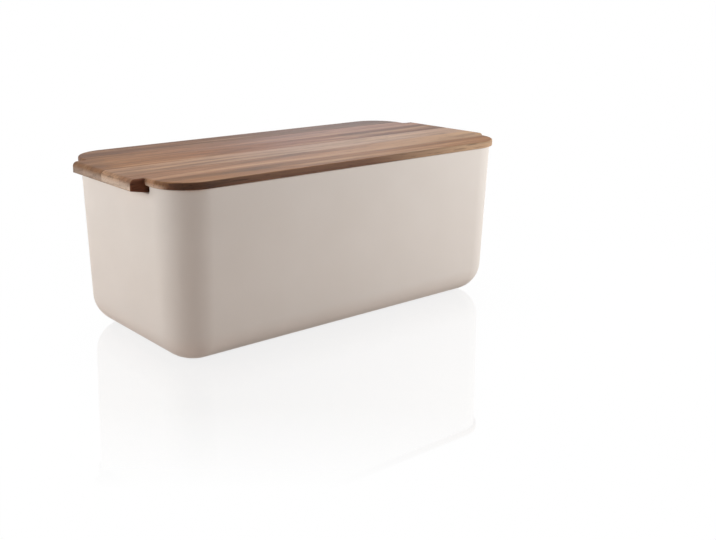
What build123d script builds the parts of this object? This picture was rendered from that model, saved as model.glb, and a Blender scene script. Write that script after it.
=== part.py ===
from build123d import *

import os
from math import radians, tan

# Bread box: a moulded tub with a loose lid board of edge-glued hardwood.
# Millimetres. X runs along the box, -Y is the front, +Z is up, and the feet stand at Z = 0.
# The lid board is rabbeted: its lip lies on the rim of the tub, its lower step drops inside the
# walls, and a grip tab of the full board thickness passes through a notch in each end wall.

# Tub, moulded in one shot with draft on every wall
tub_length = 360          # outside, at the rim
tub_width = 176           # outside, at the rim
tub_height = 142          # underside to rim
wall_thickness = 3
floor_thickness = 3
corner_radius = 34        # outside, at the rim
base_edge_radius = 26     # outside, where the walls roll into the base
draft_angle = 1.45        # degrees
rim_edge_radius = 1       # outside of the rim
rim_lead_in = 0.8         # chamfer inside the rim that guides the lid's step
base_edge_limit_share = 0.95  # the base rounding stays inside the corner that it runs round

# Lid board
lip_thickness = 5.8       # what shows above the rim
step_depth = 5.4          # what drops inside the tub
lid_overhang = 1.2        # lip past the tub's wall, all round
lid_corner_tightening = 2  # how much tighter the lip turns its corners than the tub
step_clearance = 1        # lower step to the inside of the rim
top_edge_radius = 1.5
lower_edge_chamfer = 0.8

# Grip tabs, one at each end of the lid
tab_width = 98.5
tab_reach = 12.4          # past the end of the lip
tab_nose_radius = 4       # top edge of the tab's end
tab_root_radius = 2       # corner between tab and lip
finger_relief = 2.2       # how much the underside rises from the lip's end to the tip

# Notches in the end walls, one for each tab
notch_side_gap = 3.5
notch_floor_gap = 0.5
notch_corner_radius = 2.5

# Staves that the board is glued up from, back to front, as shares of its width
stave_width_shares = (0.175, 0.16, 0.18, 0.165, 0.17, 0.15)

# Feet, pressed into round sockets under the base
foot_diameter = 14
foot_projection = 1       # below the base
foot_socket_depth = 1.2
foot_clearance = 0.15     # round the foot in its socket
foot_edge_chamfer = 0.5
foot_inset = 18           # centre of a foot, in from the edge of the flat base

overrun = 10              # how far a cut runs past the face it goes through

# Heights
base_z = foot_projection
rim_z = base_z + tub_height
step_z = rim_z - step_depth
board_thickness = lip_thickness + step_depth

# Tub sizes that follow from the ones above
draft_inset = tub_height * tan(radians(draft_angle))
base_corner_radius = corner_radius - draft_inset
outer_base_radius = min(base_edge_radius, base_corner_radius * base_edge_limit_share)
inner_base_radius = outer_base_radius - wall_thickness
inner_length = tub_length - 2 * wall_thickness
inner_width = tub_width - 2 * wall_thickness
inner_corner_radius = corner_radius - wall_thickness
flat_base_length = tub_length - 2 * (draft_inset + outer_base_radius)
flat_base_width = tub_width - 2 * (draft_inset + outer_base_radius)

# Lid sizes that follow from the tub
lid_length = tub_length + 2 * lid_overhang
lid_width = tub_width + 2 * lid_overhang
lid_corner_radius = corner_radius - lid_corner_tightening
step_length = inner_length - 2 * step_clearance
step_width = inner_width - 2 * step_clearance
step_corner_radius = inner_corner_radius - step_clearance
board_length = lid_length + 2 * tab_reach

# Notches follow the tabs, feet follow the flat of the base
notch_width = tab_width + 2 * notch_side_gap
notch_depth = step_depth + notch_floor_gap
foot_spacing_x = flat_base_length - 2 * foot_inset
foot_spacing_y = flat_base_width - 2 * foot_inset

os.makedirs("parts", exist_ok=True)


# Well: the room inside the tub, drafted and rounded below like the outside
with BuildPart() as well:
    with BuildSketch(Plane.XY.offset(rim_z)):
        RectangleRounded(inner_length, inner_width, inner_corner_radius)
    extrude(amount=floor_thickness - tub_height, taper=draft_angle)
    fillet(well.faces().sort_by(Axis.Z)[0].edges(), inner_base_radius)

# Tub: a drafted block, rounded below, hollowed by the well, with notches and foot sockets
with BuildPart() as tub:
    with BuildSketch(Plane.XY.offset(rim_z)):
        RectangleRounded(tub_length, tub_width, corner_radius)
    extrude(amount=-tub_height, taper=draft_angle)
    fillet(tub.faces().sort_by(Axis.Z)[0].edges(), outer_base_radius)
    add(well.part, mode=Mode.SUBTRACT)

    rim_face = tub.faces().sort_by(Axis.Z)[-1]
    chamfer(rim_face.inner_wires()[0].edges(), rim_lead_in)
    rim_face = tub.faces().sort_by(Axis.Z)[-1]
    fillet(rim_face.outer_wire().edges(), rim_edge_radius)

    with BuildSketch(Plane.YZ) as notch_outline:
        with Locations((0, rim_z - notch_depth)):
            Rectangle(notch_width, notch_depth + overrun, align=(Align.CENTER, Align.MIN))
        fillet(notch_outline.vertices().group_by(Axis.Y)[0], notch_corner_radius)
    extrude(amount=tub_length, both=True, mode=Mode.SUBTRACT)

    with BuildSketch(Plane.XY.offset(base_z)):
        with GridLocations(foot_spacing_x, foot_spacing_y, 2, 2):
            Circle(foot_diameter / 2 + foot_clearance)
    extrude(amount=foot_socket_depth, mode=Mode.SUBTRACT)

tub.part.label = "tub"
export_step(tub.part, "parts/tub.step")


def board_outline(plate_length, plate_width, plate_corner_radius):
    """A rounded plate with a grip tab at each end, drawn in the open sketch."""
    RectangleRounded(plate_length, plate_width, plate_corner_radius)
    Rectangle(board_length, tab_width)
    columns = vertices().group_by(Axis.X)
    left_roots = columns[1].sort_by_distance((0, 0))[:2]
    right_roots = columns[-2].sort_by_distance((0, 0))[:2]
    fillet(left_roots + right_roots, tab_root_radius)


# Lid board, whole: the lip on the rim and the step inside it share the two tabs
with BuildPart() as board:
    with BuildSketch(Plane.XY.offset(rim_z)):
        board_outline(lid_length, lid_width, lid_corner_radius)
    extrude(amount=lip_thickness)
    with BuildSketch(Plane.XY.offset(step_z)):
        board_outline(step_length, step_width, step_corner_radius)
    extrude(amount=step_depth)

    # Rounded noses on the tabs, then one soft edge round the top that runs down the tabs' corners
    cross_edges = board.faces().sort_by(Axis.Z)[-1].edges().group_by(Axis.X)
    fillet(cross_edges[0] + cross_edges[-1], tab_nose_radius)
    top_edges = board.faces().sort_by(Axis.Z)[-1].edges().group_by(Axis.X)
    fillet([edge for column in top_edges[1:-1] for edge in column], top_edge_radius)
    chamfer(board.faces().sort_by(Axis.Z)[0].edges(), lower_edge_chamfer)

    # Finger relief under the tabs
    with BuildSketch(Plane.XZ):
        Polygon(
            (lid_length / 2, step_z),
            (board_length / 2, step_z + finger_relief),
            (board_length / 2, step_z - overrun),
            (lid_length / 2, step_z - overrun),
            align=None,
        )
        mirror(about=Plane.YZ)
    extrude(amount=lid_width, both=True, mode=Mode.SUBTRACT)

# Staves: the board sawn along its glue lines, back to front
stave_count = len(stave_width_shares)
back_saw_cut = lid_width / 2 + overrun
glue_lines = [lid_width / 2 - lid_width * sum(stave_width_shares[:count]) for count in range(1, stave_count)]
saw_cuts = [back_saw_cut, *glue_lines, -back_saw_cut]
for number in range(1, stave_count + 1):
    back_cut, front_cut = saw_cuts[number - 1:number + 1]
    with BuildPart() as stave:
        add(board.part)
        with BuildSketch(Plane.XY.offset(step_z - overrun)):
            with Locations((0, front_cut)):
                Rectangle(board_length + 2 * overrun, back_cut - front_cut, align=(Align.CENTER, Align.MIN))
        extrude(amount=board_thickness + 2 * overrun, mode=Mode.INTERSECT)
    stave.part.label = f"lid_stave_{number}"
    export_step(stave.part, f"parts/lid_stave_{number}.step")


# Feet: one low soft disc for each socket, bevelled where it stands
foot_sides = {"left": -1, "right": 1}
foot_rows = {"front": -1, "back": 1}
for row_name, row in foot_rows.items():
    for side_name, side in foot_sides.items():
        foot_place = (side * foot_spacing_x / 2, row * foot_spacing_y / 2)
        with BuildPart() as foot:
            with BuildSketch(Plane.XY):
                with Locations(foot_place):
                    Circle(foot_diameter / 2)
            extrude(amount=foot_projection + foot_socket_depth)
            chamfer(foot.faces().sort_by(Axis.Z)[0].edges(), foot_edge_chamfer)
        foot.part.label = f"foot_{row_name}_{side_name}"
        export_step(foot.part, f"parts/foot_{row_name}_{side_name}.step")
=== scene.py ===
# %% [markdown]
# # A bread box with a board for a lid
#
# The object is a low plastic tub with softly rounded corners, and a hardwood board lies on its rim
# as the lid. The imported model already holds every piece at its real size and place, so this lesson
# makes the pieces that the eye sees, gives them their finish, and sets up a small white studio round
# them. Lengths are in metres, so sizes are written as millimetres times one small factor.

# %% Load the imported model
from math import pi, radians, tan

import bmesh
import bpy
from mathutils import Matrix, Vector


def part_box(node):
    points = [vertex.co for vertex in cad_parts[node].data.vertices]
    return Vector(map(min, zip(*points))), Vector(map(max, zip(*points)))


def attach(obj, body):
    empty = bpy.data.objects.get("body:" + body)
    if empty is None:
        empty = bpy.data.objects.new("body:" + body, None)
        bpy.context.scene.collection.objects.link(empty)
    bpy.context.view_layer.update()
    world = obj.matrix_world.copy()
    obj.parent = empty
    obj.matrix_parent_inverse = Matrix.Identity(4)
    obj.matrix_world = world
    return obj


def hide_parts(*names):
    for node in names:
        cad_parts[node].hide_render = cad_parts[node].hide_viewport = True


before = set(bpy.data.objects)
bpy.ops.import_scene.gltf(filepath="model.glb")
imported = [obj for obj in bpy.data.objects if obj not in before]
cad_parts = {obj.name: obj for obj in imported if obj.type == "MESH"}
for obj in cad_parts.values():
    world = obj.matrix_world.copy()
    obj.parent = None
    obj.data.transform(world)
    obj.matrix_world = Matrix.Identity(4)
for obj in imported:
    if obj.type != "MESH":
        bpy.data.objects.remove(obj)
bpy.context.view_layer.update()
mm = 0.001

# %% [markdown]
# ## Camera
#
# The view is from the front left, a little above the lid. Lens, place and direction come from
# matching the straight edges of the tub and the lid, so parallels close up as they do in the
# picture. The subject stands left of the middle. Turning the camera would give that too, but it
# would also lean the uprights another way, so the lens is shifted sideways instead.

# %% Camera
picture_width = 716           # pixels
focal_length = 944.1          # in pixels of that width
optical_centre = 300          # pixels from the left edge
sensor_width = 36             # millimetres, as Blender counts it
camera_place = (-517.6 * mm, -667.1 * mm, 284.3 * mm)
camera_turn = radians(38.04)  # to the right of straight ahead
camera_dip = radians(16.62)

bpy.ops.object.select_all(action="DESELECT")
bpy.ops.object.camera_add(location=camera_place, rotation=(pi / 2 - camera_dip, 0, -camera_turn))
camera = bpy.context.object
camera.name = "picture_camera"
camera.data.sensor_width = sensor_width
camera.data.lens = sensor_width * focal_length / picture_width
camera.data.shift_x = 0.5 - optical_centre / picture_width
bpy.context.scene.camera = camera
print(f"camera: lens {camera.data.lens:.1f} mm, shift {camera.data.shift_x:.3f}")

# %% [markdown]
# ## Helpers for modelling
#
# Every operator works on what is selected, so the selection is made in code first. One helper adds a
# primitive at its size and place, one picks vertices, edges or faces by a test on their place or
# direction, and one applies a modifier right after it is added. Other helpers follow where they are
# first needed.

# %% Helpers for modelling
near = 0.02 * mm              # two places closer than this count as the same


def add_primitive(name, add, half_size, place):
    """Adds one primitive, which is two units across, and applies its half size and its place."""
    bpy.ops.object.select_all(action="DESELECT")
    add(location=place)
    piece = bpy.context.object
    piece.name = name
    piece.scale = half_size
    bpy.ops.object.transform_apply(location=True, rotation=True, scale=True)
    return piece


def pick(piece, kind, test):
    """Selects, in edit mode, the vertices, edges or faces that pass a test, and counts them."""
    bpy.ops.mesh.select_mode(type=kind)
    bpy.ops.mesh.select_all(action="DESELECT")
    cage = bmesh.from_edit_mesh(piece.data)
    cage.normal_update()
    elements = {"VERT": cage.verts, "EDGE": cage.edges, "FACE": cage.faces}[kind]
    found = [element for element in elements if test(element)]
    for element in found:
        element.select_set(True)
    cage.select_flush_mode()
    bmesh.update_edit_mesh(piece.data)
    return len(found)


def apply_modifier(piece, kind, **settings):
    """Adds a modifier and applies it to the mesh."""
    modifier = piece.modifiers.new(kind.lower(), kind)
    for setting, value in settings.items():
        setattr(modifier, setting, value)
    bpy.context.view_layer.objects.active = piece
    bpy.ops.object.modifier_apply(modifier=modifier.name)


print(f"places within {near / mm:.2f} mm count as one")

# %% [markdown]
# ## Tub
#
# The tub is one plastic moulding: walls that lean out a little so that it leaves the mould, large
# upright corners, and a base that rolls into the walls. A rounded block with a hollow cut into it
# would do, but an even wall is hard to get that way. A flat plate the size of the rim is a better
# start. Bevelling its four corners draws the outline. Insetting the plate and pushing the inner face
# down makes the leaning walls in one move, because the inset is the draft. A bevel along the bottom
# loop is the roll of the base, and Solidify gives the wall its even thickness inwards. The wall
# leans, so Solidify leaves its inner edge a trace too high, and scaling that edge flat levels the rim.

# %% Tub: walls and base
tub_low, tub_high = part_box("tub")
rim_height = tub_high.z
tub_height = tub_high.z - tub_low.z
wall_thickness = 3 * mm
corner_radius = 34 * mm
base_radius = 26 * mm
draft = radians(1.45)
corner_steps = 20
base_steps = 12

tub = add_primitive(
    "tub_moulding",
    bpy.ops.mesh.primitive_plane_add,
    (tub_high.x, tub_high.y, 1),
    (0, 0, rim_height),
)
bpy.ops.object.mode_set(mode="EDIT")
bpy.ops.mesh.select_all(action="SELECT")
bpy.ops.mesh.bevel(offset=corner_radius, segments=corner_steps, affect="VERTICES")
bpy.ops.mesh.select_all(action="SELECT")
bpy.ops.mesh.inset(thickness=tub_height * tan(draft), depth=0)
bpy.ops.transform.translate(value=(0, 0, -tub_height))
bpy.ops.mesh.bevel(offset=base_radius, segments=base_steps, affect="EDGES")
bpy.ops.mesh.select_all(action="SELECT")
bpy.ops.mesh.flip_normals()
bpy.ops.object.mode_set(mode="OBJECT")
apply_modifier(tub, "SOLIDIFY", thickness=wall_thickness, offset=-1, use_even_offset=True)
bpy.ops.object.mode_set(mode="EDIT")
pick(tub, "VERT", lambda corner: corner.co.z > rim_height + near)
bpy.ops.transform.resize(value=(1, 1, 0), center_override=(0, 0, rim_height))
bpy.ops.object.mode_set(mode="OBJECT")
print("tub shell:", len(tub.data.polygons), "faces")

# %% [markdown]
# The rim has a notch in each short wall, where a grip tab of the lid passes out. The two could be
# cut one by one, but one long rounded bar through both walls cuts them at once and keeps them in
# line. Every sharp edge then gets the small rounding that a mould gives it.

# %% Tub: notches and soft edges
tab_width = 98.5 * mm
notch_side_gap = 3.5 * mm
notch_floor_gap = 0.5 * mm
notch_corner_radius = 2.5 * mm
notch_corner_steps = 6
rim_rounding = 0.9 * mm
rim_steps = 3
sharp = radians(45)           # an edge that turns by more than this is rounded
overrun = 10 * mm             # how far a cut runs past the face it goes through

step_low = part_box("lid_stave_3")[0].z
notch_low = step_low - notch_floor_gap
notch_high = rim_height + overrun


def middle_of(element):
    """The middle of an edge or a face."""
    corners = [corner.co for corner in element.verts]
    return sum(corners, Vector()) / len(corners)


def cut_out(piece, cutter):
    """Takes one solid out of another and removes the cutter."""
    apply_modifier(piece, "BOOLEAN", object=cutter, operation="DIFFERENCE", solver="EXACT")
    bpy.data.objects.remove(cutter)


notch_bar = add_primitive(
    "notch_bar",
    bpy.ops.mesh.primitive_cube_add,
    (tub_high.x + overrun, tab_width / 2 + notch_side_gap, (notch_high - notch_low) / 2),
    (0, 0, (notch_high + notch_low) / 2),
)
bpy.ops.object.mode_set(mode="EDIT")
pick(notch_bar, "EDGE", lambda edge: abs(middle_of(edge).x) < near
     and middle_of(edge).z < notch_low + near)
bpy.ops.mesh.bevel(offset=notch_corner_radius, segments=notch_corner_steps, affect="EDGES")
bpy.ops.object.mode_set(mode="OBJECT")
cut_out(tub, notch_bar)
apply_modifier(tub, "BEVEL", width=rim_rounding, segments=rim_steps,
               limit_method="ANGLE", angle_limit=sharp)
print("tub with notches:", len(tub.data.polygons), "faces")

# %% [markdown]
# The feet sit in four shallow round sockets under the base. Short discs cut them after the rounding,
# so their edges stay crisp. Then the shading is smoothed, weighted by the size of the faces so that
# the flat walls stay flat.

# %% Tub: sockets and shading
socket_clearance = 0.15 * mm


def select_only(piece):
    """Selects one piece and makes it the active one."""
    bpy.ops.object.select_all(action="DESELECT")
    piece.select_set(True)
    bpy.context.view_layer.objects.active = piece


def smooth_finish(piece):
    """Smooth shading that keeps flat faces flat and sharp edges sharp."""
    select_only(piece)
    bpy.ops.object.shade_smooth_by_angle(angle=sharp)
    apply_modifier(piece, "WEIGHTED_NORMAL", keep_sharp=True)


foot_names = sorted(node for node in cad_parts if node.startswith("foot_"))
for name in foot_names:
    foot_low, foot_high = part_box(name)
    socket_radius = (foot_high.x - foot_low.x) / 2 + socket_clearance
    socket_tool = add_primitive(
        "socket_tool",
        bpy.ops.mesh.primitive_cylinder_add,
        (socket_radius, socket_radius, (foot_high.z - foot_low.z) / 2),
        (foot_low + foot_high) / 2,
    )
    cut_out(tub, socket_tool)

smooth_finish(tub)
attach(tub, "box")
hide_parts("tub")
print("tub:", len(tub.data.polygons), "faces,", len(foot_names), "sockets")

# %% [markdown]
# ## Lid board
#
# The lid is a flat board with a rabbet round its lower edge: a thin lip lies on the rim, and a step
# drops inside the walls and keeps the lid from sliding. At each end a grip tab as thick as the whole
# board reaches out. The outer sizes could be typed in again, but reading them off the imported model
# keeps the two alike. The rabbet is as wide as overhang, wall and clearance together.

# %% Lid board: sizes
stave_names = sorted(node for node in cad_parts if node.startswith("lid_stave_"))
stave_boxes = [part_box(name) for name in stave_names]
board_top = max(high.z for low, high in stave_boxes)
lip_side = max(high.y for low, high in stave_boxes)
tab_end = max(high.x for low, high in stave_boxes)
tab_side = tab_width / 2
tab_reach = 12.4 * mm
lip_end = tab_end - tab_reach
lip_corner_radius = 32 * mm
step_clearance = 1 * mm
lip_overhang = lip_side - tub_high.y
rabbet_width = lip_overhang + wall_thickness + step_clearance
print(f"lid: lip {(board_top - rim_height) / mm:.1f} mm thick, rabbet {rabbet_width / mm:.1f} mm wide")

# %% [markdown]
# Lip, step and tabs could be three blocks joined by booleans, but extruding all of them from one
# plate leaves clean faces for the rounding. The plate is cut into three strips with the bisect tool,
# so that the faces where the tabs grow are there from the start. The lip is extruded upwards and the
# step downwards from an inset. The board stays in edit mode until its edges are done.

# %% Lid board: lip and step
straight = 0.9                # a face whose normal points this far along an axis looks that way


def looks_down(face):
    """Whether a face looks straight down."""
    return face.normal.z < -straight


board = add_primitive(
    "lid_board",
    bpy.ops.mesh.primitive_plane_add,
    (lip_end, lip_side, 1),
    (0, 0, rim_height),
)
bpy.ops.object.mode_set(mode="EDIT")
for strip_edge in (-tab_side, tab_side):
    bpy.ops.mesh.select_all(action="SELECT")
    bpy.ops.mesh.bisect(plane_co=(0, strip_edge, 0), plane_no=(0, 1, 0))
pick(board, "VERT", lambda corner: abs(corner.co.y) > tab_side + near)
bpy.ops.mesh.bevel(offset=lip_corner_radius, segments=corner_steps, affect="VERTICES")
bpy.ops.mesh.select_all(action="SELECT")
bpy.ops.mesh.extrude_region_move(TRANSFORM_OT_translate={"value": (0, 0, board_top - rim_height)})
bpy.ops.mesh.select_all(action="SELECT")
bpy.ops.mesh.normals_make_consistent(inside=False)
strips = pick(board, "FACE", looks_down)
bpy.ops.mesh.inset(thickness=rabbet_width, depth=0)
bpy.ops.mesh.extrude_region_move(TRANSFORM_OT_translate={"value": (0, 0, step_low - rim_height)})
print("lid board:", strips, "strips underneath")

# %% [markdown]
# A tab fills the rabbet first and then reaches past the lip. The strip of the lip's underside above
# it would end up inside the wood, so it is deleted before the step's end face is pulled out to the
# lip, and the doubled points are merged. After that both end faces are extruded together, and the
# lower edge of the tip is lifted, which leaves room for the fingers.

# %% Lid board: grip tabs
finger_relief = 2.2 * mm
step_end = lip_end - rabbet_width
rabbet_middle = (step_end + lip_end) / 2
in_one_plane = radians(1)     # faces that turn by less than this are merged


def on_tab(face, x, z=None):
    """Whether the middle of a face lies over the board's long axis at x, and at height z if given."""
    middle = middle_of(face)
    at_height = z is None or abs(middle.z - z) < near
    return abs(middle.y) < near and abs(middle.x - x) < near and at_height


for end in (-1, 1):
    pick(board, "FACE", lambda face: on_tab(face, end * rabbet_middle, rim_height))
    bpy.ops.mesh.delete(type="ONLY_FACE")
    pick(board, "FACE", lambda face: on_tab(face, end * step_end))
    bpy.ops.mesh.extrude_region_move(TRANSFORM_OT_translate={"value": (end * rabbet_width, 0, 0)})
    pick(board, "FACE", lambda face: on_tab(face, end * rabbet_middle, rim_height))
    bpy.ops.mesh.delete(type="ONLY_FACE")
    bpy.ops.mesh.select_all(action="SELECT")
    bpy.ops.mesh.remove_doubles(threshold=near)
    end_faces = pick(board, "FACE", lambda face: on_tab(face, end * lip_end))
    bpy.ops.mesh.extrude_region_move(TRANSFORM_OT_translate={"value": (end * tab_reach, 0, 0)})
    tips = pick(board, "VERT", lambda corner: end * corner.co.x > tab_end - near
                and corner.co.z < step_low + near)
    bpy.ops.transform.translate(value=(0, 0, finger_relief))
    print("tab:", end_faces, "end faces pulled out,", tips, "tip corners lifted")

bpy.ops.mesh.select_all(action="SELECT")
bpy.ops.mesh.remove_doubles(threshold=near)
bpy.ops.mesh.normals_make_consistent(inside=False)
bpy.ops.mesh.dissolve_limited(angle_limit=in_one_plane)

# %% [markdown]
# A board is never left with raw arrises. Each tab first gets a rounded nose, where the hand takes it,
# and the small radius of a router bit where it leaves the lip. One bevel of the whole board would be
# quicker, but these edges have radii of their own, so they are picked by their place and go first.

# %% Lid board: noses and roots of the tabs
tab_nose_radius = 4 * mm
tab_nose_steps = 8
tab_root_radius = 2 * mm
tab_root_steps = 5


def is_sharp(edge):
    """Whether an edge sticks out and turns by more than the angle set above."""
    return edge.calc_face_angle_signed(0) > sharp


def is_upright_at(edge, x, y):
    """Whether an edge stands upright at a distance x and y from the middle of the board."""
    start, stop = (corner.co for corner in edge.verts)
    upright = (start - stop).xy.length < near
    return upright and abs(abs(start.x) - x) < near and abs(abs(start.y) - y) < near


noses = pick(board, "EDGE", lambda edge: is_sharp(edge) and middle_of(edge).z > board_top - near
             and abs(middle_of(edge).x) > tab_end - near)
bpy.ops.mesh.bevel(offset=tab_nose_radius, segments=tab_nose_steps, affect="EDGES")
roots = pick(board, "EDGE", lambda edge: is_upright_at(edge, lip_end, tab_side))
bpy.ops.mesh.bevel(offset=tab_root_radius, segments=tab_root_steps, affect="EDGES")
print("tabs rounded:", noses, "noses,", roots, "roots")

# %% [markdown]
# The rest is sandpaper. The lower edges get a small round, the top edge a softer one that runs on
# down the corners of the tabs, and last the lip's own lower edge is broken. A Bevel modifier would
# round them all alike, so each group of edges is picked by its height and gets its own radius.

# %% Lid board: sanded edges
lower_rounding = 0.8 * mm
lower_steps = 3
top_rounding = 1.5 * mm
top_steps = 5
lip_rounding = 0.5 * mm
lip_steps = 2
tip_low = step_low + finger_relief

lower_edges = pick(board, "EDGE", lambda edge: is_sharp(edge) and middle_of(edge).z < tip_low + near)
bpy.ops.mesh.bevel(offset=lower_rounding, segments=lower_steps, affect="EDGES")
top_edges = pick(board, "EDGE", lambda edge: is_sharp(edge)
                 and (middle_of(edge).z > rim_height + near or abs(middle_of(edge).x) > tab_end - near))
bpy.ops.mesh.bevel(offset=top_rounding, segments=top_steps, affect="EDGES")
lip_edges = pick(board, "EDGE", lambda edge: is_sharp(edge)
                 and abs(middle_of(edge).z - rim_height) < near)
bpy.ops.mesh.bevel(offset=lip_rounding, segments=lip_steps, affect="EDGES")
bpy.ops.object.mode_set(mode="OBJECT")
print("edges sanded:", lower_edges, "below,", top_edges, "on top,", lip_edges, "under the lip")

# %% [markdown]
# The board is glued up from six staves. Six boards could be modelled apart, but then their edges
# would have to be made to meet. So each stave is a copy of the whole board, sawn with the bisect tool
# along its two glue lines and closed there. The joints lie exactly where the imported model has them,
# and each stave can take its own piece of wood.

# %% Lid board: six staves
def copy_of(piece, name):
    """Makes a selected copy of a piece, with a mesh of its own."""
    select_only(piece)
    bpy.ops.object.duplicate()
    copy = bpy.context.object
    copy.name = name
    return copy


stave_pieces = []
for name, (stave_low, stave_high) in zip(stave_names, stave_boxes):
    stave = copy_of(board, name.replace("lid_", "board_"))
    bpy.ops.object.mode_set(mode="EDIT")
    for saw_line, waste_side in ((stave_high.y, 1), (stave_low.y, -1)):
        if abs(saw_line) < lip_side - near:
            bpy.ops.mesh.select_all(action="SELECT")
            bpy.ops.mesh.bisect(plane_co=(0, saw_line, 0), plane_no=(0, waste_side, 0),
                                use_fill=True, clear_outer=True)
    bpy.ops.object.mode_set(mode="OBJECT")
    smooth_finish(stave)
    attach(stave, "lid")
    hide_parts(name)
    stave_pieces.append(stave)
    print(stave.name, len(stave.data.polygons), "faces")
bpy.data.objects.remove(board)

# %% [markdown]
# ## Feet
#
# Four low discs of soft silicone sit in the sockets and lift the tub a millimetre off the table. They
# are too low to show more than an edge, so a cylinder with its lower edge rounded is enough. It is
# modelled once, in the middle, and copied to the four corners.

# %% Feet
foot_rounding = 0.5 * mm
foot_steps = 3
foot_low, foot_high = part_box(foot_names[0])
foot_radius = (foot_high.x - foot_low.x) / 2

pad = add_primitive(
    "pad",
    bpy.ops.mesh.primitive_cylinder_add,
    (foot_radius, foot_radius, (foot_high.z - foot_low.z) / 2),
    (0, 0, (foot_low.z + foot_high.z) / 2),
)
bpy.ops.object.mode_set(mode="EDIT")
pick(pad, "FACE", looks_down)
bpy.ops.mesh.bevel(offset=foot_rounding, segments=foot_steps, affect="EDGES")
bpy.ops.object.mode_set(mode="OBJECT")
smooth_finish(pad)

foot_pieces = []
for name in foot_names:
    foot_low, foot_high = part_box(name)
    foot = copy_of(pad, name.replace("foot_", "pad_"))
    foot.location = ((foot_low.x + foot_high.x) / 2, (foot_low.y + foot_high.y) / 2, 0)
    bpy.ops.object.transform_apply(location=True, rotation=True, scale=True)
    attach(foot, "box")
    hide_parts(name)
    foot_pieces.append(foot)
bpy.data.objects.remove(pad)
print("feet:", len(foot_pieces))

# %% [markdown]
# ## Helpers for materials
#
# Colours are written as hex values, as a colour picker shows them, and one function turns them into
# the linear values that a shader works with. Another adds a node, sets it and links it. Inputs go by
# name, or by number where several share one name, and a node's main output is its first. A colour mix
# has sockets for other kinds of value too, so the four that matter get names here.

# %% Helpers for materials
mix_share = 0                 # inputs of a colour mix
mix_from = 6
mix_to = 7
mix_result = 2                # its output


def linear(hex_colour):
    """A hex sRGB colour as linear red, green, blue and alpha."""
    channels = [int(hex_colour[start:start + 2], 16) / 255 for start in (0, 2, 4)]
    return [c / 12.92 if c <= 0.04045 else ((c + 0.055) / 1.055) ** 2.4 for c in channels] + [1]


def add_node(owner, kind, settings=None, links=None):
    """Adds a node to a material or world, sets its properties and sockets, and links its inputs."""
    node = owner.node_tree.nodes.new(kind)
    for name, value in (settings or {}).items():
        if isinstance(name, str) and hasattr(node, name):
            setattr(node, name, value)
        else:
            node.inputs[name].default_value = value
    for name, source in (links or {}).items():
        owner.node_tree.links.new(source, node.inputs[name])
    return node


def new_material(name):
    """A material without any nodes yet."""
    material = bpy.data.materials.new(name)
    material.use_nodes = True
    material.node_tree.nodes.clear()
    return material


def dress(piece, material):
    """Gives a piece its one material."""
    piece.data.materials.clear()
    piece.data.materials.append(material)


white = linear("FFFFFF")
print("plain white in linear values:", white)

# %% [markdown]
# ## Plastic of the tub
#
# The tub is a dyed plastic from a finely eroded mould, which leaves it satin: no sharp reflections,
# but a broad pale sheen towards the lamps. The dye is a warm grey-beige. One even roughness would look
# like paint, so a very fine grain breaks the sheen, and a slow, weak cloudiness in the colour comes
# from the flow of the melt.

# %% Satin moulded plastic
grain_size = 0.7 * mm         # drawn coarser than the real grain, which would vanish in the picture
grain_height = 0.05 * mm
grain_strength = 0.08
cloud_size = 45 * mm
dye_tones = ("CABDB1", "CFC3B8")
satin = (0.58, 0.70)          # roughness, from the hollows of the grain to its tops
plastic_ior = 1.5

plastic = new_material("moulded_plastic_satin")
plastic_place = add_node(plastic, "ShaderNodeTexCoord")
grit = add_node(plastic, "ShaderNodeTexNoise", {"Scale": 1 / grain_size, "Detail": 2.0},
                {"Vector": plastic_place.outputs["Object"]})
cloud = add_node(plastic, "ShaderNodeTexNoise", {"Scale": 1 / cloud_size, "Detail": 2.0},
                 {"Vector": plastic_place.outputs["Object"]})
dye = add_node(plastic, "ShaderNodeMix",
               {"data_type": "RGBA", mix_from: linear(dye_tones[0]), mix_to: linear(dye_tones[1])},
               {mix_share: cloud.outputs["Fac"]})
sheen = add_node(plastic, "ShaderNodeMapRange", {"To Min": satin[0], "To Max": satin[1]},
                 {"Value": grit.outputs["Fac"]})
grain = add_node(plastic, "ShaderNodeBump", {"Strength": grain_strength, "Distance": grain_height},
                 {"Height": grit.outputs["Fac"]})
plastic_surface = add_node(plastic, "ShaderNodeBsdfPrincipled", {"IOR": plastic_ior},
                           {"Base Color": dye.outputs[mix_result], "Roughness": sheen.outputs[0],
                            "Normal": grain.outputs["Normal"]})
add_node(plastic, "ShaderNodeOutputMaterial", {}, {"Surface": plastic_surface.outputs["BSDF"]})
dress(tub, plastic)
print(plastic.name, len(plastic.node_tree.nodes), "nodes")

# %% [markdown]
# ## Oiled acacia
#
# Acacia runs from pale sapwood to dark brown heartwood within one board. Its figure has several
# scales, and each is a pattern drawn out along the grain: broad streaks of heart and sap, thin growth
# lines round a pith that lies outside the stave, fine fibres, and pores that show as short dark
# dashes. Only the X axis is drawn out, so the same patterns become rings and dots on the sawn ends,
# which a pattern laid on each face by itself would not give.

# %% Oiled acacia: figure
wander_patch = (300 * mm, 50 * mm)   # along the grain and across it
wander_shift = (0, 9 * mm, 9 * mm)   # interlocked grain makes every line wander
streak_patch = (220 * mm, 13 * mm)
fibre_patch = (60 * mm, 1.3 * mm)    # fibres and pores are drawn coarser than real ones
pore_patch = (14 * mm, 0.9 * mm)
patch_roughness = 0.6
ring_spacing = 7 * mm                # wider than real rings, which would blur into one another
ring_turn = 2 * pi / 20              # length of one turn of the wave texture at scale 1
ring_stretch = 20
late_growth = (0.75, 1.0)            # the part of a ring that shows as a line


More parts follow.
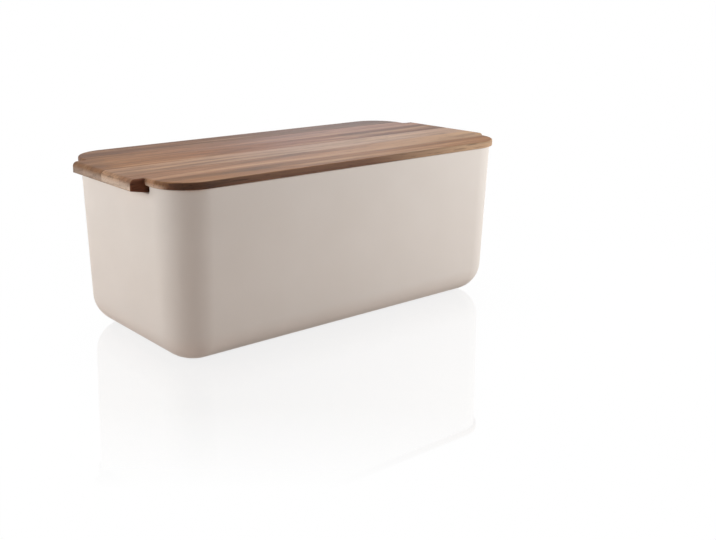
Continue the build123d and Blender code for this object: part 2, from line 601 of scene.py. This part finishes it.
def grain_noise(material, place, pith, patch, settings):
    """Noise in patches with a length along the grain and a width across it."""
    length, width = patch
    drawn_out = add_node(material, "ShaderNodeMapping",
                         {"vector_type": "TEXTURE", "Location": pith, "Scale": (length / width, 1, 1)},
                         {"Vector": place})
    return add_node(material, "ShaderNodeTexNoise",
                    {"Scale": 1 / width, "Roughness": patch_roughness, **settings},
                    {"Vector": drawn_out.outputs[0]})


def growth_lines(material, place, pith, lean):
    """Thin lines where one season's growth ends, round a pith that leans a little."""
    ring_place = add_node(material, "ShaderNodeMapping",
                          {"vector_type": "TEXTURE", "Location": pith, "Rotation": lean,
                           "Scale": (ring_stretch, 1, 1)},
                          {"Vector": place})
    rings = add_node(material, "ShaderNodeTexWave",
                     {"wave_type": "RINGS", "wave_profile": "SIN", "Scale": ring_turn / ring_spacing,
                      "Distortion": 2.0, "Detail": 3.0, "Detail Scale": 1.0},
                     {"Vector": ring_place.outputs[0]})
    lines = add_node(material, "ShaderNodeMapRange",
                     {"From Min": late_growth[0], "From Max": late_growth[1]},
                     {"Value": rings.outputs["Fac"]})
    return lines.outputs[0]


print(f"streaks {streak_patch[1] / mm:.0f} mm wide, growth lines {ring_spacing / mm:.0f} mm apart")

# %% [markdown]
# The colour of a stave drifts between three tones from its left end to its right end. The drift is partly
# the wood's own and partly painted sheen: the pinkish and greyish tones towards the middle and the right
# stand in for the pale glare on the far part of the board. A colour ramp could hold the tones, but mixing
# one tone over another works for every layer: drift, streaks, sides and ends. A layer comes in over a
# stretch of some value, such as a place or the strength of a streak.

# %% Oiled acacia: tones
# some of these tones, the pinkish and the greyish ones, are partly painted sheen
wood_tones = {
    "deep_heart": "4A2F20",
    "red_heart_and_shade": "633824",
    "umber": "553A2B",
    "heartwood": "6B4A36",
    "cocoa": "7E543F",
    "russet": "865B38",
    "rose_and_sheen": "8D6957",
    "honey": "8E633F",
    "tan": "966D50",
    "gold": "AB8465",
    "amber": "AC8A6B",
    "sand": "A3846F",
    "sapwood": "C8A581",
    # a painted highlight, for the lower half of the sawn ends
    "end_highlight": "BDA590",
}
wood_tones = {tone: linear(colour) for tone, colour in wood_tones.items()}
print(len(wood_tones), "tones of wood")


def lay_tone(material, colour, tone, value, stretch, most=1.0):
    """Lays a tone over a colour: none of it at the start of a stretch of values, the most at its end."""
    share = add_node(material, "ShaderNodeMapRange",
                     {"From Min": stretch[0], "From Max": stretch[1], "To Max": most}, {"Value": value})
    mix = add_node(material, "ShaderNodeMix", {"data_type": "RGBA", mix_to: wood_tones[tone]},
                   {mix_share: share.outputs[0], mix_from: colour})
    return mix.outputs[mix_result]


def drifting_tones(material, along, tones, stretch):
    """Three tones that follow one another along the grain, between four places."""
    first, second, third = tones
    share = add_node(material, "ShaderNodeMapRange", {"From Min": stretch[0], "From Max": stretch[1]},
                     {"Value": along})
    mix = add_node(material, "ShaderNodeMix",
                   {"data_type": "RGBA", mix_from: wood_tones[first], mix_to: wood_tones[second]},
                   {mix_share: share.outputs[0]})
    return lay_tone(material, mix.outputs[mix_result], third, along, stretch[2:])


# %% [markdown]
# Dark and pale streaks are mixed into the drift of the top. The sides of the board are darker, partly from
# the heartwood that they show and partly as painted shade, since they face away from the lamps. They turn
# redder onto the sides of the left tab, and give way to amber towards the right, where the amber is partly
# painted light from the right lamp. A darker shade of the top would miss that turn, so the sides get a
# drift of their own.

# %% Oiled acacia: top and sides
top_stretch = (-tab_end, 0.0, 0.0, tab_end)  # where one tone turns into the next, along the top
heart_streaks = (0.50, 0.34)           # strengths of the streak pattern that turn dark
heart_share = 0.55
sap_streaks = (0.53, 0.70)             # and those that turn pale
sap_share = 0.40
# the side tones are partly heartwood and partly painted shade: darkest at the left, lighter towards the
# right lamp
side_tones_and_shade = ("deep_heart", "heartwood", "amber")
side_stretch = (-145 * mm, -105 * mm, 10 * mm, 125 * mm)
root_stretch = (-172 * mm, -184 * mm)  # where the sides turn redder, onto the left tab


def top_colour(material, along, streaks, tones):
    """The drift of one stave with its streaks of heart and sap."""
    colour = drifting_tones(material, along, tones, top_stretch)
    colour = lay_tone(material, colour, "deep_heart", streaks, heart_streaks, heart_share)
    return lay_tone(material, colour, "sapwood", streaks, sap_streaks, sap_share)


def side_colour_and_shade(material, along):
    """The drift along the sides of the board, partly heartwood and partly painted shade."""
    colour = drifting_tones(material, along, side_tones_and_shade, side_stretch)
    return lay_tone(material, colour, "red_heart_and_shade", along, root_stretch)


print("sides drift from", " to ".join(side_tones_and_shade))

# %% [markdown]
# Which colour shows depends on the way that a face looks, and this paints part of the light and shade. A
# material for each set of faces would leave hard lines between them, so one material reads the normal and
# blends the colours round the edges. The sawn ends are pale on their lower half, below the nose: a painted
# highlight, where the rounded nose would catch the left lamp. A stave's left tip may be darker, as painted
# shade on the nose of the tab.

# %% Oiled acacia: faces and ends
side_turn = (0.3, 0.6)                 # how far a face turns sideways before it shows the side's tone
side_share = 0.95
end_highlight_turn = (0.85, 0.97)                # how far a face turns endways before it shows the painted highlight
end_highlight_stretch = (146.5 * mm, 143 * mm)   # heights where the ends go from brown to the pale painted highlight
end_highlight_share = 0.9
tip_stretch = (-165 * mm, -188 * mm)   # where the painted shade on the left tips comes in


def wood_colour(material, coordinates, bent, streaks, tones, tip_shade):
    """The colour of one stave on its top, sides and ends, with painted shade on its left tip."""
    along = add_node(material, "ShaderNodeSeparateXYZ", {}, {"Vector": bent}).outputs["X"]
    turned = add_node(material, "ShaderNodeVectorMath", {"operation": "ABSOLUTE"},
                      {0: coordinates.outputs["Normal"]})
    facing = add_node(material, "ShaderNodeSeparateXYZ", {}, {"Vector": turned.outputs[0]})
    sideways = add_node(material, "ShaderNodeMapRange",
                        {"From Min": side_turn[0], "From Max": side_turn[1], "To Max": side_share},
                        {"Value": facing.outputs["Y"]})
    sided = add_node(material, "ShaderNodeMix", {"data_type": "RGBA"},
                     {mix_share: sideways.outputs[0],
                      mix_from: top_colour(material, along, streaks, tones),
                      mix_to: side_colour_and_shade(material, along)})
    sided_colour = sided.outputs[mix_result]
    place = add_node(material, "ShaderNodeSeparateXYZ", {}, {"Vector": coordinates.outputs["Object"]})
    # painted highlight: the lower half of each end turns pale, where the left lamp would glint on the nose
    sawn = lay_tone(material, sided_colour, "end_highlight", place.outputs["Z"], end_highlight_stretch, end_highlight_share)
    endways = add_node(material, "ShaderNodeMapRange", {"From Min": end_highlight_turn[0], "From Max": end_highlight_turn[1]},
                       {"Value": facing.outputs["X"]})
    whole = add_node(material, "ShaderNodeMix", {"data_type": "RGBA"},
                     {mix_share: endways.outputs[0], mix_from: sided_colour, mix_to: sawn})
    # painted shade on the left tip of each stave, as much as its share
    return lay_tone(material, whole.outputs[mix_result], "umber", along, tip_stretch, tip_shade)


# the pale lower half of the ends is a painted highlight
print(f"sawn ends turn pale from {end_highlight_stretch[0] / mm:.1f} mm down to {end_highlight_stretch[1] / mm:.1f} mm")

# %% [markdown]
# Fibres, growth lines and pores darken that colour a little. They could be laid over it as more
# tones, but one factor that scales the colour keeps its hue, as in real wood.

# %% Oiled acacia: fibres, lines and pores
pore_cut = (0.66, 0.74)              # strengths of the pore pattern that are pores
fibre_range = (0.3, 0.7)             # where most of the fibre pattern's strengths lie
fibre_shade = (0.9, 1.12)            # how much fibres darken and lighten the wood
line_depth = 0.2                     # how much growth lines and pores darken it
pore_depth = 0.35


def pore_marks(material, place, pith):
    """Short dashes where the pores of the wood are cut open."""
    noise = grain_noise(material, place, pith, pore_patch, {"Detail": 0.0})
    marks = add_node(material, "ShaderNodeMapRange", {"From Min": pore_cut[0], "From Max": pore_cut[1]},
                     {"Value": noise.outputs["Fac"]})
    return marks.outputs[0]


def grain_shade(material, fibres, lines, pores):
    """The factor by which fibres, growth lines and pores scale the colour."""
    fibred = add_node(material, "ShaderNodeMapRange",
                      {"From Min": fibre_range[0], "From Max": fibre_range[1],
                       "To Min": fibre_shade[0], "To Max": fibre_shade[1]},
                      {"Value": fibres})
    lined = add_node(material, "ShaderNodeMath", {"operation": "MULTIPLY_ADD", 1: -line_depth},
                     {0: lines, 2: fibred.outputs[0]})
    shade = add_node(material, "ShaderNodeMath", {"operation": "MULTIPLY_ADD", 1: -pore_depth},
                     {0: pores, 2: lined.outputs[0]})
    return shade.outputs[0]


print(f"fibres scale the colour by {fibre_shade[0]} to {fibre_shade[1]}")

# %% [markdown]
# The finish is a food-safe oil, rubbed thin, not a varnish, so there is no glassy coat: the sheen is
# weak and uneven, and the fibres still stand up. All layers come together here, in one material for
# each stave.

# %% Oiled acacia: oil
oil_sheen = (0.46, 0.66)             # roughness
relief_height = 0.12 * mm
relief_strength = 0.25
oil_ior = 1.47
oil_gloss = 0.15                     # an open pored surface reflects less than a closed film of oil


def acacia(name, tones, pith, lean, tip_shade):
    """Oiled acacia for one stave, with its tones at the left end, the middle and the right end."""
    material = new_material(name)
    coordinates = add_node(material, "ShaderNodeTexCoord")
    place = coordinates.outputs["Object"]
    wander = grain_noise(material, place, pith, wander_patch, {"normalize": False, "Detail": 1.0})
    bent = add_node(material, "ShaderNodeVectorMath", {"operation": "MULTIPLY_ADD", 1: wander_shift},
                    {0: wander.outputs["Color"], 2: place}).outputs[0]
    streaks = grain_noise(material, bent, pith, streak_patch, {"Detail": 3.0}).outputs["Fac"]
    fibres = grain_noise(material, bent, pith, fibre_patch, {"Detail": 3.0}).outputs["Fac"]
    lines = growth_lines(material, bent, pith, lean)
    pores = pore_marks(material, bent, pith)
    shaded = add_node(material, "ShaderNodeVectorMath", {"operation": "SCALE"},
                      {0: wood_colour(material, coordinates, bent, streaks, tones, tip_shade),
                       "Scale": grain_shade(material, fibres, lines, pores)})
    oil = add_node(material, "ShaderNodeMapRange", {"To Min": oil_sheen[0], "To Max": oil_sheen[1]},
                   {"Value": fibres})
    height = add_node(material, "ShaderNodeMath", {"operation": "SUBTRACT"}, {0: fibres, 1: pores})
    relief = add_node(material, "ShaderNodeBump", {"Strength": relief_strength, "Distance": relief_height},
                      {"Height": height.outputs[0]})
    surface = add_node(material, "ShaderNodeBsdfPrincipled",
                       {"IOR": oil_ior, "Specular IOR Level": oil_gloss},
                       {"Base Color": shaded.outputs[0], "Roughness": oil.outputs[0],
                        "Normal": relief.outputs["Normal"]})
    add_node(material, "ShaderNodeOutputMaterial", {}, {"Surface": surface.outputs["BSDF"]})
    return material


print(f"fibres up to {relief_height / mm:.2f} mm high under the oil")

# %% [markdown]
# No two staves come from the same place in the tree, so each has its own tones, its own pith line behind,
# below or far above the board, its own lean of that line, and its own share of painted shade on the left
# tip. The pinkish and greyish tones in the middles and right ends are partly painted sheen.

# %% Oiled acacia: six staves
stave_woods = (               # slot, tones, place of the pith, its lean in radians, painted shade in the left tip
    ("acacia_dark", ("heartwood", "heartwood", "umber"), (40 * mm, 75 * mm, 60 * mm), (0, 0.01, 0.02), 0.0),
    ("acacia_dark", ("honey", "rose_and_sheen", "rose_and_sheen"), (-120 * mm, 45 * mm, 190 * mm), (0, -0.01, 0.01), 0.6),
    ("acacia_light", ("honey", "cocoa", "heartwood"), (90 * mm, 10 * mm, 40 * mm), (0, 0.02, -0.02), 0.5),
    ("acacia_light", ("gold", "sand", "sand"), (-60 * mm, -15 * mm, 210 * mm), (0, 0.01, 0.01), 0.1),
    ("acacia_tan", ("tan", "tan", "amber"), (150 * mm, -50 * mm, 50 * mm), (0, -0.01, 0.02), 0.0),
    ("acacia_dark", ("honey", "russet", "honey"), (10 * mm, -78 * mm, 220 * mm), (0, 0.01, -0.02), 0.0),
)
for stave, (slot, tones, pith, lean, tip_shade) in zip(stave_pieces, stave_woods):
    dress(stave, acacia(stave.name + "_oiled", tones, pith, lean, tip_shade))
    print(stave.name, "drifts from", " to ".join(tones))

# %% [markdown]
# ## Silicone of the feet
#
# The feet hardly show. They are grey silicone from a plain mould: matt, with a trace of dust in the
# colour. Real silicone lets a little light through, which would cost time and not be seen down here.

# %% Silicone
dust_size = 1.5 * mm
silicone_tones = ("A49E97", "BBB6AF")
silicone_ior = 1.41
silicone_roughness = 0.6

silicone = new_material("silicone_matt")
silicone_place = add_node(silicone, "ShaderNodeTexCoord")
dust = add_node(silicone, "ShaderNodeTexNoise", {"Scale": 1 / dust_size, "Detail": 2.0},
                {"Vector": silicone_place.outputs["Object"]})
dusted = add_node(silicone, "ShaderNodeMix",
                  {"data_type": "RGBA", mix_from: linear(silicone_tones[0]),
                   mix_to: linear(silicone_tones[1])},
                  {mix_share: dust.outputs["Fac"]})
silicone_surface = add_node(silicone, "ShaderNodeBsdfPrincipled",
                            {"Roughness": silicone_roughness, "IOR": silicone_ior},
                            {"Base Color": dusted.outputs[mix_result]})
add_node(silicone, "ShaderNodeOutputMaterial", {}, {"Surface": silicone_surface.outputs["BSDF"]})
for foot in foot_pieces:
    dress(foot, silicone)
print(silicone.name, "on", len(foot_pieces), "feet")

# %% [markdown]
# ## Table
#
# The table is a white gloss sheet that runs out to the horizon. For the eye it is almost pure white,
# and only a small share of it is a lit surface that takes the soft shadow. A sheet that is lit all
# over would be simpler, but it would turn grey away from the lamps. So the lit share falls off with
# the distance from the foot of the tub, alike on all four sides.

# %% Table: shadow
table_size = 60.0                # metres, far past the edges of the picture
shadow_share = 0.025
shadow_reach = 0.35              # distance from the foot of the tub where the shadow ends
base_half = (tub_high.x - base_radius, tub_high.y - base_radius, 0)

table = add_primitive("table", bpy.ops.mesh.primitive_plane_add,
                      (table_size / 2, table_size / 2, 1), (0, 0, 0))
gloss_sheet = new_material("white_gloss_sheet")
table_place = add_node(gloss_sheet, "ShaderNodeTexCoord").outputs["Object"]
folded = add_node(gloss_sheet, "ShaderNodeVectorMath", {"operation": "ABSOLUTE"}, {0: table_place})
past_base = add_node(gloss_sheet, "ShaderNodeVectorMath", {"operation": "SUBTRACT", 1: base_half},
                     {0: folded.outputs[0]})
outside = add_node(gloss_sheet, "ShaderNodeVectorMath", {"operation": "MAXIMUM", 1: (0, 0, 0)},
                   {0: past_base.outputs[0]})
distance = add_node(gloss_sheet, "ShaderNodeVectorMath", {"operation": "LENGTH"},
                    {0: outside.outputs[0]})
lit_level = add_node(gloss_sheet, "ShaderNodeMapRange",
                     {"From Max": shadow_reach, "To Min": shadow_share, "To Max": 0.0},
                     {"Value": distance.outputs["Value"]})
print(f"table: {shadow_share:.1%} lit next to the tub")

# %% [markdown]
# A larger share of the sheet mirrors the tub. A glossy coat all over would mirror the whole of it,
# but in the picture the reflection fades out below the tub. So the mirror share falls off along one
# line, evenly towards the front and the back.

# %% Table: reflection
mirror_share = 0.15
mirror_fade = (0.23, 0.345)      # distances from the middle where the reflection starts to fade and ends
mirror_line = (0.616, 0.788, 0)  # the direction that they are measured in

along_line = add_node(gloss_sheet, "ShaderNodeVectorMath", {"operation": "DOT_PRODUCT", 1: mirror_line},
                      {0: table_place})
off_middle = add_node(gloss_sheet, "ShaderNodeMath", {"operation": "ABSOLUTE"},
                      {0: along_line.outputs["Value"]})
mirror_level = add_node(gloss_sheet, "ShaderNodeMapRange",
                        {"From Min": mirror_fade[0], "From Max": mirror_fade[1],
                         "To Min": mirror_share, "To Max": 0.0},
                        {"Value": off_middle.outputs[0]})
print(f"table: {mirror_share:.0%} mirror next to the tub")

# %% [markdown]
# Light paths tell what the eye sees, straight or in a reflection, from light on its way to another
# surface. To the eye the sheet is plain white with its shares of shadow and mirror. To the tub it is
# a warm white that throws light back, which fills the roll of the base. One plain white for both
# would have to be lit so strongly to look pure that the tub would be lit too much from below.

# %% Table: finish
lit_tone = linear("F4F4F4")
bounce_tone = linear("EADAD3")
mirror_roughness = 0.04


def seen_by_eye(owner):
    """1 for what the camera sees, straight, in a reflection or through glass, and otherwise 0."""
    path = add_node(owner, "ShaderNodeLightPath")
    mirrored = add_node(owner, "ShaderNodeMath", {"operation": "MAXIMUM"},
                        {0: path.outputs["Is Camera Ray"], 1: path.outputs["Is Glossy Ray"]})
    through = add_node(owner, "ShaderNodeMath", {"operation": "MAXIMUM"},
                       {0: mirrored.outputs[0], 1: path.outputs["Is Transmission Ray"]})
    return through.outputs[0]


lit_white = add_node(gloss_sheet, "ShaderNodeBsdfDiffuse", {"Color": lit_tone})
plain_white = add_node(gloss_sheet, "ShaderNodeEmission", {"Color": white, "Strength": 1.0})
mirror = add_node(gloss_sheet, "ShaderNodeBsdfGlossy", {"Color": white, "Roughness": mirror_roughness})
seen_white = add_node(gloss_sheet, "ShaderNodeMixShader", {},
                      {0: lit_level.outputs[0], 1: plain_white.outputs[0], 2: lit_white.outputs[0]})
seen_sheet = add_node(gloss_sheet, "ShaderNodeMixShader", {},
                      {0: mirror_level.outputs[0], 1: seen_white.outputs[0], 2: mirror.outputs[0]})
bounce = add_node(gloss_sheet, "ShaderNodeBsdfDiffuse", {"Color": bounce_tone})
sheet = add_node(gloss_sheet, "ShaderNodeMixShader", {},
                 {0: seen_by_eye(gloss_sheet), 1: bounce.outputs[0], 2: seen_sheet.outputs[0]})
add_node(gloss_sheet, "ShaderNodeOutputMaterial", {}, {"Surface": sheet.outputs[0]})
dress(table, gloss_sheet)
print(gloss_sheet.name, len(gloss_sheet.node_tree.nodes), "nodes")

# %% [markdown]
# ## Surround
#
# The room is white where the camera or a reflection looks into it, and gives no light of its own,
# because light from all round would flatten the tub. A backdrop could be modelled, but it would need
# lamps of its own to look as even.

# %% Surround
world = bpy.data.worlds.new("white_room")
bpy.context.scene.world = world
world.use_nodes = True
world.node_tree.nodes.clear()
room = add_node(world, "ShaderNodeBackground", {"Color": white}, {"Strength": seen_by_eye(world)})
add_node(world, "ShaderNodeOutputWorld", {}, {"Surface": room.outputs[0]})
bpy.context.scene.view_settings.view_transform = "Standard"
print(world.name, len(world.node_tree.nodes), "nodes")

# %% [markdown]
# ## Lamps
#
# Four soft lamps light the box: a wide one overhead, whose light the table throws back, a low one
# close to the short wall, one from the right that grazes the long wall, and a narrow one far behind,
# which lies on the board as a pale sheen. The near corner looks at neither side lamp, so it is the
# darkest part of the tub, and both side lamps stand close, so the walls get darker downwards. One big
# lamp in front would be simpler, but it would light both walls and the corner alike.

# %% Lamps
lamp_aim = Vector((0, 0, 80 * mm))
white_light = (1.03, 1.0, 0.99)
cool_light = (0.90, 1.0, 1.07)
sky_light = (0.84, 1.0, 1.13)
lamps = (                     # name, place, width and height, watts, colour
    ("lamp_overhead", (0.0, 0.4, 1.5), (1.6, 1.2), 19.5, white_light),
    ("lamp_back", (0.95, 1.09, 0.35), (0.42, 0.6), 1.75, sky_light),
    ("lamp_left", (-0.62, 0.12, 0.28), (0.6, 0.2), 2.4, cool_light),
    ("lamp_right", (0.6, -0.6, 0.35), (0.5, 0.5), 6.5, cool_light),
)
for name, place, (width, height), power, colour in lamps:
    bpy.ops.object.select_all(action="DESELECT")
    bpy.ops.object.light_add(type="AREA", location=place)
    lamp = bpy.context.object
    lamp.name = name
    lamp.data.shape = "RECTANGLE"
    lamp.data.size = width
    lamp.data.size_y = height
    lamp.data.energy = power
    lamp.data.color = colour
    lamp.rotation_euler = (lamp_aim - Vector(place)).to_track_quat("-Z", "Y").to_euler()
    print(name, power, "W")
